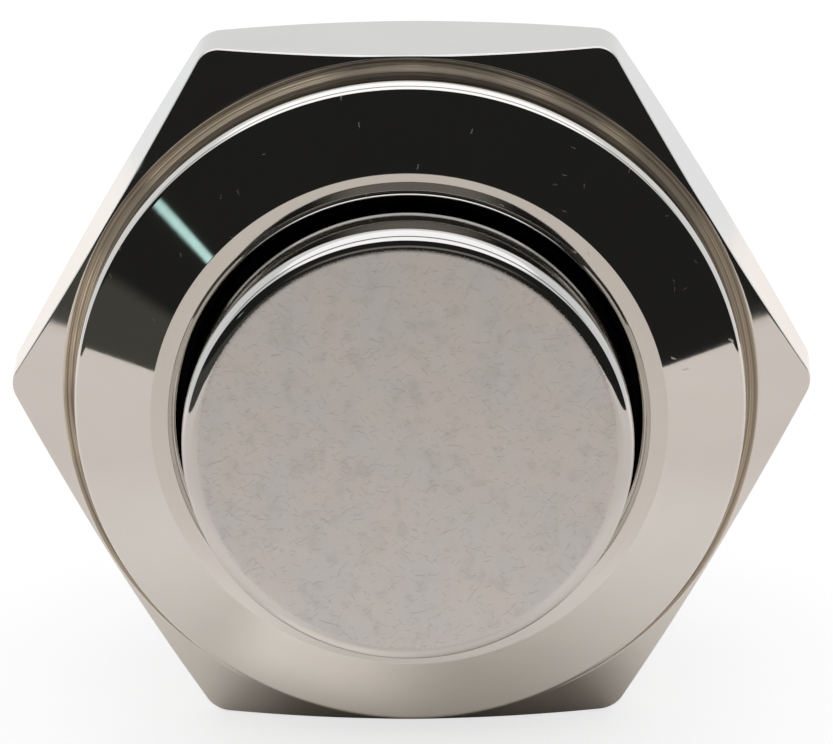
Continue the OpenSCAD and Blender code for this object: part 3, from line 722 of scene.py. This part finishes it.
def nut_mesh():
    """The nut as rings of points: out along its front face, down its side and back in."""
    columns = []
    for x, z in nut_outline():
        edge, angle = math.hypot(x, z), math.atan2(z, x)
        chamfer = edge - NUT_FACE_R
        arris = NUT_FRONT + chamfer * NUT_SLOPE
        soft = min(NUT_ARRIS, chamfer * ARRIS_SHARE)
        radius = soft / math.tan(math.radians(30))
        start, guard = edge - radius / 2, min(ARRIS_GUARD[0], chamfer * ARRIS_GUARD[1])
        run = [(NUT_BORE_R, NUT_FRONT + NUT_MOUTH)]
        run += [(NUT_BORE_R + NUT_MOUTH + w, NUT_FRONT) for w in NUT_RINGS]
        run.append((NUT_FACE_R - guard, NUT_FRONT))
        for r in (NUT_FACE_R + guard, NUT_FACE_R + 2 * guard, start - guard):
            run.append((r, NUT_FRONT + (r - NUT_FACE_R) * NUT_SLOPE))
        for turn in map(math.radians, ARRIS_TURNS):
            run.append((
                edge - radius + radius * math.cos(turn), arris + soft - radius * math.sin(turn),
            ))
        run.append((edge, arris + soft + EDGE_STRAIGHT))
        rear = [(r, NUT_FRONT + NUT_REAR - y) for r, y in reversed(run)]
        columns.append([(r * math.cos(angle), y, r * math.sin(angle)) for r, y in run + rear])
    count, rows = len(columns), len(columns[0])
    verts = [tuple(c * MM for c in p) for column in columns for p in column]
    faces, shades = [], []
    for k in range(count):
        n = (k + 1) % count
        for i in range(rows):
            j = (i + 1) % rows
            faces.append((k * rows + i, k * rows + j, n * rows + j, n * rows + i))
            on_face = min(i, rows - 2 - i)
            shades.append(1 if BARE_ROWS[0] <= on_face < BARE_ROWS[1] else 0)
    mesh = bpy.data.meshes.new("nut")
    mesh.from_pydata(verts, [], faces)
    mesh.polygons.foreach_set("material_index", shades)
    return mesh


nut_nickel = metal("nut_nickel", NICKEL, roughness=0.075, marks=0.05)

turned_face = bpy.data.materials.new("turned_face")
turned_face.use_nodes = True
tree = turned_face.node_tree
surface = tree.nodes["Principled BSDF"]
surface.inputs["Metallic"].default_value = 1
lathe = placed(tree, lathe_marks, Spacing=FINE_GROOVES, Wander=FINE_WANDER)
broad = placed(tree, lathe_marks, Spacing=BROAD_GROOVES, Wander=BROAD_WANDER)
tone = placed(tree, uneven_tone, Scale=TURNED_CLOUDS)
place = tree.nodes.new("ShaderNodeTexCoord")
# Painted light and shade by side: full towards the upper left, falling off to the right.
toward_sheen_side = vector(tree, "DOT_PRODUCT", place.outputs["Object"], SHEEN_SIDE_TOWARD)
painted_light_side = ramp(tree, toward_sheen_side.outputs["Value"], SHEEN_SIDE_FROM, MM)
painted_light_side = number(tree, "ADD", SHEEN_SIDE_LEAST, product(tree, painted_light_side, 1 - SHEEN_SIDE_LEAST))
# Painted highlight streaks along the turned rings.
painted_sheen_streak = product(
    tree, ramp(tree, lathe.outputs["Height"], SHEEN_HEIGHT),
    ramp(tree, tone.outputs["Tone"], SHEEN_CLOUD), painted_light_side,
)
# Brown rings against darker ones, darkened to the right by painted shade.
brown = product(tree, ramp(tree, broad.outputs["Height"], BROWN_HEIGHT), number(
    tree, "ADD", SHEEN_SIDE_LEAST, product(tree, painted_light_side, 1 - SHEEN_SIDE_LEAST),
))
base = blended(tree, brown, TURNED_DARK_AND_SHADE, TURNED_BROWN)
feed(tree, surface.inputs["Base Color"], blended(tree, painted_sheen_streak, base, PAINTED_TURNED_SHEEN))
feed(tree, surface.inputs["Roughness"], number(
    tree, "ADD", TURNED_ROUGH, product(tree, broad.outputs["Height"], TURNED_ROUGH_MORE),
))
bumped(tree, surface, lathe.outputs["Height"], TURNED_BUMP, TURNED_GROOVE)

fitted("hexagon_nut", "nut", nut_mesh(), nut_nickel, turned_face,
       stands_for=["hex_nut"], slot="nut_plated", sharp=20)
fitted("nut_thread", "nut", grown(
    thread_ridge, Root=NUT_BORE_R * MM, Crest=(NUT_THREAD_R - NUT_BORE_R) * MM,
    Foot_half=NUT_FOOT_HALF * MM, Crest_half=NUT_CREST_HALF * MM, Let_in=-LET_IN * MM,
    Start=(THREAD_FROM + THREAD_PITCH / 2) * MM, Pitch=THREAD_PITCH * MM,
    Turns=NUT_TURNS, Run_out=NUT_RUN_OUT, Material=cut_thread,
), slot="nut_plated")

# The cap: a turned cup of plated brass. Its flat face is tumbled to a satin, with fine stray
# scratches, and its rounded edge and wall are polished. The stem is fixed in its rear boss.

CAP_R, CAP_TOP, CAP_EDGE, CAP_CEILING, CAP_SKIRT, CAP_BORE = 6.0, -4.45, 0.5, -3.2, 0.9, 5.0
GROOVE_R, GROOVE_FRONT, GROOVE_REAR, SKIRT_CHAMFER = 5.45, -0.30, 0.55, 0.15
BOSS_R, BOSS_END, STEM_R, STEM_FRONT = 2.3, -0.6, 1.5, -3.4
SKIRT_EDGE, CUP_INSIDE, BOSS_EDGE, POCKET_EDGE, POCKET_INSIDE = 0.05, 0.15, 0.06, 0.05, 0.03
FACE_RINGS = (0, 1.5, 3.0, 4.4)
SATIN_WARM, SATIN_COOL = (0.635, 0.612, 0.590), (0.605, 0.610, 0.606)
SATIN_GREY, CAP_POLISH, STAIN = (0.52, 0.517, 0.508), (0.60, 0.592, 0.572), (0.28, 0.275, 0.265)
SATIN_CLOUDS, SATIN_GRAIN, SATIN_BUMP, SATIN_PITS = 620.0, 2600.0, 0.35, 0.006 * MM
SATIN_RIM, SATIN_DEPTH, RIM_WOBBLE = (0.11, 0.04), (-4.35, -4.40), 0.18 * MM
WARM_CLOUD, GREY_LIMITS, GREY_SPECKS, GREY_PATCHES = (0.36, 0.62), (0.50, 0.75), 0.7, 0.5
SPOT_SCALE, SPOT_SIZE, SPOT_SHARE, SPOT_STAIN = 900, (0.055, 0.03), 0.35, 0.7
POLISHED_ROUGH, SATIN_ROUGH, SATIN_ROUGH_MORE = 0.05, 0.21, 0.10
HAIR_KINDS = (
    dict(Scale=1900.0, Share=0.32, Width=0.036, Shift=0.0),
    dict(Scale=2900.0, Share=0.38, Width=0.060, Shift=7.3),
    dict(Scale=1150.0, Share=0.13, Width=0.022, Shift=3.1),
    dict(Scale=4600.0, Share=0.40, Width=0.10, Shift=5.7),
)
HAIR_STAINS, HAIR_TURN, HAIR_BEND = (0.36, 0.32, 0.42, 0.34), 0.32, 2.0

cap_finish = bpy.data.materials.new("cap_satin_and_polish")
cap_finish.use_nodes = True
tree = cap_finish.node_tree
surface = tree.nodes["Principled BSDF"]
surface.inputs["Metallic"].default_value = 1
lathe = placed(tree, lathe_marks, Spacing=BROAD_GROOVES)
tone = placed(tree, uneven_tone, Scale=SATIN_CLOUDS)
grain = placed(tree, uneven_tone, Scale=SATIN_GRAIN)
wobble = product(tree, number(tree, "SUBTRACT", grain.outputs["Fine"], 0.5), RIM_WOBBLE)
on_face = ramp(
    tree, number(tree, "ADD", lathe.outputs["Radius"], wobble),
    [CAP_R - CAP_EDGE + past for past in SATIN_RIM], MM,
)
satin = product(tree, on_face, ramp(tree, lathe.outputs["Depth"], SATIN_DEPTH, MM))
base = blended(tree, ramp(tree, tone.outputs["Tone"], WARM_CLOUD), SATIN_COOL, SATIN_WARM)
for label, strength in (("Fine", GREY_SPECKS), ("Tone", GREY_PATCHES)):
    grey = product(tree, ramp(tree, grain.outputs[label], GREY_LIMITS), strength)
    base = blended(tree, grey, base, SATIN_GREY)
for kind, strength in zip(HAIR_KINDS, HAIR_STAINS):
    hairs = placed(tree, short_scratches, Turn=HAIR_TURN, Bend=HAIR_BEND, **kind)
    base = blended(tree, product(tree, hairs.outputs["Mask"], strength), base, STAIN)
spots, place, pick = new_nodes(
    tree, "ShaderNodeTexVoronoi", "ShaderNodeTexCoord", "ShaderNodeSeparateColor",
)
spots.inputs["Scale"].default_value = SPOT_SCALE
tree.links.new(place.outputs["Object"], spots.inputs["Vector"])
tree.links.new(spots.outputs["Color"], pick.inputs[0])
dot = product(
    tree, ramp(tree, spots.outputs["Distance"], SPOT_SIZE),
    number(tree, "LESS_THAN", pick.outputs[0], SPOT_SHARE), SPOT_STAIN,
)
base = blended(tree, dot, base, STAIN)
feed(tree, surface.inputs["Base Color"], blended(tree, satin, CAP_POLISH, base))
rough = number(tree, "ADD", SATIN_ROUGH, product(tree, grain.outputs["Tone"], SATIN_ROUGH_MORE))
feed(tree, surface.inputs["Roughness"], number(
    tree, "ADD", POLISHED_ROUGH, product(tree, rough, satin),
))
bumped(tree, surface, product(tree, grain.outputs["Tone"], satin), SATIN_BUMP, SATIN_PITS)

cap_outline = [(r, CAP_TOP) for r in FACE_RINGS] + rounded([
    (0, CAP_TOP, 0), (CAP_R, CAP_TOP, CAP_EDGE), (CAP_R, GROOVE_FRONT, CUT),
    (GROOVE_R, GROOVE_FRONT, CUT), (GROOVE_R, GROOVE_REAR, CUT), (CAP_R, GROOVE_REAR, CUT),
    (CAP_R, CAP_SKIRT - SKIRT_CHAMFER, CUT), (CAP_R - SKIRT_CHAMFER, CAP_SKIRT, CUT),
    (CAP_BORE, CAP_SKIRT, SKIRT_EDGE), (CAP_BORE, CAP_CEILING, CUP_INSIDE),
    (BOSS_R, CAP_CEILING, CUP_INSIDE), (BOSS_R, BOSS_END, BOSS_EDGE),
    (STEM_R, BOSS_END, POCKET_EDGE), (STEM_R, STEM_FRONT, POCKET_INSIDE), (0, STEM_FRONT, 0),
], steps=12)[1:]
fitted("push_cap", "button", turned(cap_outline, SIDES_IN_VIEW), cap_finish,
       stands_for=["button_cap"], slot="cap_metal")

# The springs: stainless wire coiled with a closed turn at each end. The return spring sits in
# the cap, and the contact spring sits on the carrier.

SPRING_R, SPRING_WIRE, SPRING_TURNS, SPRING_STEPS = 3.7, 0.6, 6.0, 360
CONTACT_R, CONTACT_WIRE, CONTACT_TURNS, CONTACT_STEPS = 1.5, 0.24, 4.5, 270
SEAT_CARRIER, BRIDGE_FRONT, STROKE, BRIDGE_STROKE = 6.9, 8.9, 1.8, 1.0
WIRE_SIDES = 14
SPRING_STEEL = (0.52, 0.51, 0.50)

wound_spring, given, result = tree_of("Wound spring", [
    ("Radius", "NodeSocketFloat", 0.0), ("Wire", "NodeSocketFloat", 0.0),
    ("Turns", "NodeSocketFloat", 5.0), ("Start", "NodeSocketFloat", 0.0),
    ("Length", "NodeSocketFloat", 0.0), ("Steps", "NodeSocketInt", 240),
    ("Material", "NodeSocketMaterial", None),
])
tree = wound_spring
line, points, way, lift, circle, sweep, upright, spot = new_nodes(
    tree, "GeometryNodeCurvePrimitiveLine", "GeometryNodeResampleCurve",
    "GeometryNodeSplineParameter", "GeometryNodeSetPosition",
    "GeometryNodeCurvePrimitiveCircle", "GeometryNodeCurveToMesh", "GeometryNodeSetCurveNormal",
    "ShaderNodeCombineXYZ",
)
tree.links.new(line.outputs[0], points.inputs["Curve"])
tree.links.new(given.outputs["Steps"], points.inputs["Count"])
turns_done = product(tree, way.outputs["Factor"], given.outputs["Turns"])
angle = product(tree, turns_done, 2 * math.pi)
for socket, operation in (("X", "COSINE"), ("Y", "SINE")):
    feed(tree, spot.inputs[socket], product(
        tree, number(tree, operation, angle), given.outputs["Radius"],
    ))

# The height of the wire at each turn: one wire up in the closed turn at either end, and the
# rest of the length shared out by the open turns between.
closed = number(tree, "MINIMUM", turns_done, 1.0)
closing = number(tree, "MAXIMUM", 0.0, number(
    tree, "SUBTRACT", turns_done,
    number(tree, "SUBTRACT", given.outputs["Turns"], 1.0),
))
open_part = number(
    tree, "DIVIDE", number(tree, "SUBTRACT", turns_done, 1.0),
    number(tree, "SUBTRACT", given.outputs["Turns"], 2.0), clamp=True,
)
open_length = number(tree, "SUBTRACT", given.outputs["Length"], product(
    tree, given.outputs["Wire"], 3.0,
))
wires_up = number(tree, "ADD", number(tree, "ADD", closed, closing), 0.5)
feed(tree, spot.inputs["Z"], number(
    tree, "ADD", product(tree, given.outputs["Wire"], wires_up),
    product(tree, open_part, open_length),
))
tree.links.new(points.outputs[0], lift.inputs["Geometry"])
tree.links.new(spot.outputs[0], lift.inputs["Position"])
upright.mode = "Z_UP"
tree.links.new(lift.outputs[0], upright.inputs["Curve"])
circle.inputs["Resolution"].default_value = WIRE_SIDES
feed(tree, circle.inputs["Radius"], product(tree, given.outputs["Wire"], 0.5))
tree.links.new(upright.outputs[0], sweep.inputs["Curve"])
tree.links.new(circle.outputs[0], sweep.inputs["Profile Curve"])
sweep.inputs["Fill Caps"].default_value = True
laid_along_y(tree, sweep.outputs[0], given, result)

spring_wire = metal("spring_wire", SPRING_STEEL, roughness=0.22, scratched=0.1, uneven=0.06)
return_spring = fitted("return_spring_coil", "housing", grown(
    wound_spring, Radius=SPRING_R * MM, Wire=SPRING_WIRE * MM, Turns=SPRING_TURNS,
    Start=CAP_CEILING * MM, Length=(WEB_FRONT - CAP_CEILING) * MM, Steps=SPRING_STEPS,
    Material=spring_wire,
), stands_for=["return_spring"], slot="return_spring_wire", sharp=60)
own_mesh(return_spring)
contact_spring = fitted("contact_spring_coil", "button", grown(
    wound_spring, Radius=CONTACT_R * MM, Wire=CONTACT_WIRE * MM, Turns=CONTACT_TURNS,
    Start=SEAT_CARRIER * MM, Length=(BRIDGE_FRONT - SEAT_CARRIER) * MM, Steps=CONTACT_STEPS,
    Material=spring_wire,
), stands_for=["contact_spring"], slot="contact_spring_wire", sharp=60)
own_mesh(contact_spring)

# The seals: a flat black silicone gasket under the bezel, and two black nitrile O-rings, one
# round the cap and one round the base. Each seal's row ends with its middle's radius and
# depth, and the radius of its section.

GASKET_IN, GASKET_OUT, GASKET_THICK, GASKET_EDGE = 8.0, 8.8, 0.5, 0.06
RUBBER_GREY, RUBBER_BLACK = (0.045, 0.045, 0.045), (0.03, 0.03, 0.03)
MOULD_GRAIN = 0.008 * MM
MOULD_ROUGH_LEAST, MOULD_ROUGH_MORE, CLOUDS_WIDER = 0.75, 0.5, 4
SEAL_TURNS = range(0, 360, 15)
SEALS = (
    ("cap_o_ring", "button", "cap_seal", "cap_seal_rubber", 5.82, 0.125, 0.37),
    ("base_o_ring", "housing", "base_seal", "base_seal_rubber", 6.225, 6.4, 0.375),
)


def moulded(name, colour, roughness, speck=0.15, grain=1800.0, bumpy=0.25):
    """A rubber, plastic or resin, with a fine grain, an uneven tone and a soft bump."""
    made = bpy.data.materials.new(name)
    made.use_nodes = True
    tree = made.node_tree
    surface = tree.nodes["Principled BSDF"]
    tone = placed(tree, uneven_tone, Scale=grain / CLOUDS_WIDER)
    feed(tree, surface.inputs["Base Color"], blended(
        tree, tone.outputs["Fine"], [c * (1 - speck) for c in colour],
        [c * (1 + speck) for c in colour],
    ))
    rough = product(tree, tone.outputs["Tone"], roughness * MOULD_ROUGH_MORE)
    feed(tree, surface.inputs["Roughness"], number(
        tree, "ADD", rough, roughness * MOULD_ROUGH_LEAST,
    ))
    bumped(tree, surface, tone.outputs["Fine"], bumpy, MOULD_GRAIN)
    return made


gasket_rubber = moulded("gasket_rubber", RUBBER_GREY, roughness=0.6)
fitted("flat_gasket", "housing", turned(rounded([
    (GASKET_IN, 0.0, GASKET_EDGE), (GASKET_OUT, 0.0, GASKET_EDGE),
    (GASKET_OUT, GASKET_THICK, GASKET_EDGE), (GASKET_IN, GASKET_THICK, GASKET_EDGE),
])), gasket_rubber, stands_for=["panel_gasket"], slot="gasket_rubber")

seal_rubber = moulded("seal_rubber", RUBBER_BLACK, roughness=0.42, bumpy=0.06)
for name, body, node, slot, middle, depth, half in SEALS:
    circle = [
        (middle + half * math.cos(math.radians(t)), depth + half * math.sin(math.radians(t)))
        for t in SEAL_TURNS
    ]
    fitted(name, body, turned(circle), seal_rubber, stands_for=[node], slot=slot)

# The guide and the plunger: a flanged brass bush pressed into the web, the ground steel stem
# that slides in it, and the dark spring clip in the stem's groove, which stops the stem.

TURNED_EDGE, STAMPED_EDGE, SOFT_EDGE, EDGE_STEPS = 0.03, 0.04, 0.05, 2
FLAT_TOGETHER, EDGE_FROM, NODE_DOUBLES = math.radians(1), math.radians(28), 1e-7
BRASS, GROUND_STEEL, DARK_STEEL = (0.66, 0.50, 0.26), (0.56, 0.55, 0.54), (0.20, 0.20, 0.21)


def eased(node, width):
    """A copy of a node's mesh with its flats joined up and its edges eased, as stamping leaves."""
    work = bmesh.new()
    work.from_mesh(nodes[node].data)
    bmesh.ops.remove_doubles(work, verts=work.verts, dist=NODE_DOUBLES)
    bmesh.ops.dissolve_limit(
        work, angle_limit=FLAT_TOGETHER, verts=work.verts, edges=work.edges
    )
    bmesh.ops.recalc_face_normals(work, faces=work.faces)
    for face in work.faces:
        face.material_index = 0
    mesh = bpy.data.meshes.new(node)
    work.to_mesh(mesh)
    work.free()
    draft = bpy.data.objects.new("draft", mesh)
    scene.collection.objects.link(draft)
    bevel = draft.modifiers.new("bevel", "BEVEL")
    bevel.width, bevel.segments = width * MM, EDGE_STEPS
    bevel.limit_method, bevel.angle_limit = "ANGLE", EDGE_FROM
    bevel.use_clamp_overlap = True
    done = bpy.data.meshes.new_from_object(
        draft.evaluated_get(bpy.context.evaluated_depsgraph_get())
    )
    bpy.data.objects.remove(draft)
    return done


def finished(node, body, material, slot, width):
    """Fits an eased copy of a node in its place."""
    fitted(node + "_finished", body, eased(node, width), material, stands_for=[node], slot=slot)


brass = metal("bush_brass", BRASS, roughness=0.25, marks=0.3, spacing=7000.0, uneven=0.05)
steel = metal("ground_steel", GROUND_STEEL, roughness=0.18, scratched=0.1, marks=0.2)
dark_steel = metal("dark_steel", DARK_STEEL, roughness=0.35, uneven=0.12)
finished("guide_bush", "housing", brass, "bush_brass", TURNED_EDGE)
finished("plunger_stem", "button", steel, "stem_steel", TURNED_EDGE)
finished("stem_clip", "button", dark_steel, "clip_steel", STAMPED_EDGE)

# The carrier: an ivory nylon moulding on the stem's end, which pushes the bridge by its spring.
# A steel push-on washer holds the bridge on it from the rear.

IVORY = (0.72, 0.69, 0.60)
nylon = moulded("ivory_nylon", IVORY, roughness=0.45, speck=0.04)
finished("contact_carrier", "button", nylon, "carrier_nylon", STAMPED_EDGE)
finished("bridge_retainer", "button", steel, "retainer_steel", TURNED_EDGE)

# The bridge: a stamped strip of copper with a silver contact riveted into each end. The rivets
# close on those of the terminals.

COPPER, SILVER = (0.75, 0.42, 0.27), (0.86, 0.85, 0.81)
copper = metal("bridge_copper", COPPER, roughness=0.24, scratched=0.3, uneven=0.08)
silver = metal("silver_rivet", SILVER, roughness=0.16, marks=0.1, uneven=0.04)
finished("contact_bridge", "bridge", copper, "bridge_copper", TURNED_EDGE)
for side in ("left", "right"):
    name = "bridge_contact_" + side
    finished(name, "bridge", silver, name + "_silver", SOFT_EDGE)

# The terminals: tinned brass strips, bent to a shelf inside and pierced with a solder eye
# outside. Each is moulded into the base, and a silver contact is riveted into its shelf.

TIN = (0.74, 0.73, 0.70)
tinned = metal("tinned_strip", TIN, roughness=0.28, scratched=0.35, uneven=0.07)
for side in ("left", "right"):
    name = "fixed_contact_" + side
    finished(name, "housing", silver, name + "_silver", SOFT_EDGE)
for side in ("left", "right"):
    name = "terminal_" + side
    finished(name, "housing", tinned, name + "_metal", SOFT_EDGE)

# The rear: a moulded base pushed in from behind, the dark snap ring that holds it against the
# shoulder, and a ring of cast resin over the snap ring, which creeps up at both walls.

BASE_BLACK, RESIN_BLACK = (0.055, 0.055, 0.06), (0.03, 0.032, 0.036)
RESIN_IN, RESIN_OUT, RESIN_FRONT, RESIN_LEVEL, RESIN_WALLS = 5.9, 6.6, 8.4, 8.9, 9.0
RESIN_CREEP, RESIN_ROUND, RESIN_EDGE = 0.18, 0.15, 0.02
base_plastic = moulded("base_moulding", BASE_BLACK, roughness=0.5, speck=0.25, bumpy=0.4)
resin = moulded("sealing_resin", RESIN_BLACK, roughness=0.14, speck=0.1, bumpy=0.08)
finished("contact_base", "housing", base_plastic, "base_moulding", SOFT_EDGE)
finished("retaining_ring", "housing", dark_steel, "snap_ring_steel", STAMPED_EDGE)
fitted("resin_fillet", "housing", turned(rounded([
    (RESIN_IN, RESIN_FRONT, RESIN_EDGE), (RESIN_OUT, RESIN_FRONT, RESIN_EDGE),
    (RESIN_OUT, RESIN_WALLS, 0),
    (RESIN_OUT - RESIN_CREEP, RESIN_LEVEL, RESIN_ROUND),
    (RESIN_IN + RESIN_CREEP, RESIN_LEVEL, RESIN_ROUND), (RESIN_IN, RESIN_WALLS, 0),
])), resin, stands_for=["sealing_resin"], slot="resin")

bpy.context.view_layer.update()
